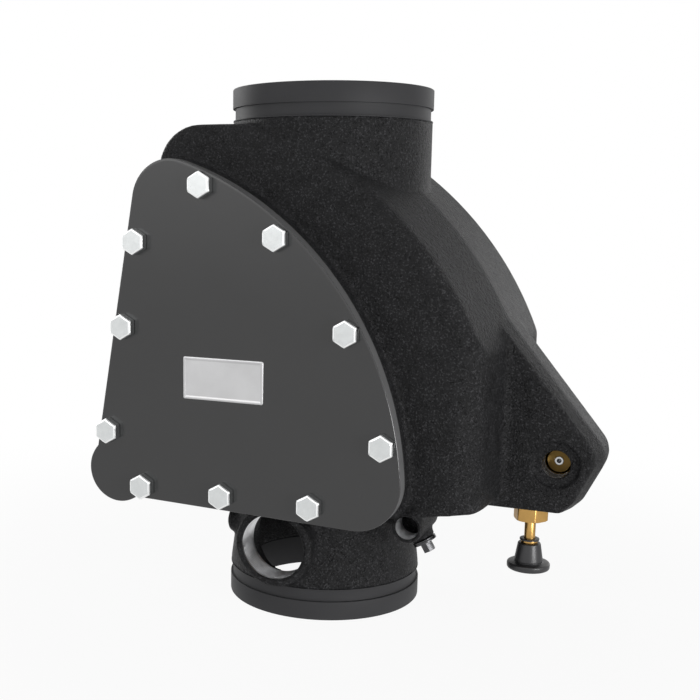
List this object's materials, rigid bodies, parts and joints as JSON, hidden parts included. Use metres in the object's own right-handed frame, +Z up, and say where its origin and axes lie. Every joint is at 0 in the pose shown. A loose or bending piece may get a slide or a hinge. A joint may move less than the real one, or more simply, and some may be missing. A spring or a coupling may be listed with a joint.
{
  "type": "dry pipe valve",
  "caption": "Dry pipe sprinkler valve with grooved ends, a bolted side cover, a swinging clapper inside, a side latch lug and a push-to-reset knob.",
  "frame": {"origin": "centre of the inlet end face, at the bottom", "axes": "+Z up the waterway from inlet to outlet, -Y towards the bolted cover, +X towards the latch lug and reset knob"},
  "size_m": [0.4143, 0.2085, 0.435],
  "materials": {
    "black_casting": "black paint over a rough sand casting",
    "cover_paint": "dark grey satin paint",
    "zinc": "bright zinc plating",
    "plate_silver": "brushed, bare",
    "steel": "machined",
    "spring_steel": "drawn wire",
    "brass": "turned",
    "bronze": "cast and machined bronze",
    "rubber": "matt",
    "black_plastic": "moulded",
    "dark_steel": "blackened steel"
  },
  "bodies": {
    "valve": {"valve_body": "black_casting", "seat_ring": "brass", "seat_o_ring": "rubber", "cover_gasket": "rubber", "cover_plate": "cover_paint", "cover_bolts": "zinc", "nameplate": "plate_silver", "hinge_pin": "steel", "front_hinge_spacer": "bronze", "rear_hinge_spacer": "bronze", "latch_pivot_pin": "steel", "reset_bushing": "brass", "bushing_o_ring": "rubber", "bushing_retaining_ring": "steel", "reset_spring": "spring_steel", "test_plug": "dark_steel", "test_plug_washer": "dark_steel"},
    "clapper": {"clapper_arm": "bronze", "front_hinge_bush": "bronze", "rear_hinge_bush": "bronze", "clapper_disc": "bronze", "clapper_facing": "rubber", "facing_retainer": "steel", "retainer_screws": "zinc", "clapper_bolt": "zinc", "clapper_washer": "zinc", "clapper_nut": "zinc"},
    "latch": {"latch_lever": "bronze", "latch_hub": "brass", "latch_spring": "spring_steel"},
    "reset": {"reset_plunger": "brass", "plunger_o_ring": "rubber", "reset_knob": "black_plastic", "knob_nut": "brass", "knob_washer": "rubber"}
  },
  "joints": [
    {"name": "clapper_swing", "type": "hinge", "parent": "valve", "child": "clapper", "pos_m": [-0.148, 0, 0.117], "axis": [0, -1, 0], "range_deg": [0, 70]},
    {"name": "latch_release", "type": "hinge", "parent": "valve", "child": "latch", "pos_m": [0.203, 0, 0.14], "axis": [0, 1, 0], "range_deg": [0, 14]},
    {"name": "reset_push", "type": "slide", "parent": "valve", "child": "reset", "axis": [0, 0, 1], "range_m": [0, 0.007], "stiffness_N_per_m": 400, "deforming": ["reset_spring"]}
  ],
  "couplings": [
    {"joint": "latch_release", "follows": "reset_push", "rad_per_m": 34.907}
  ]
}
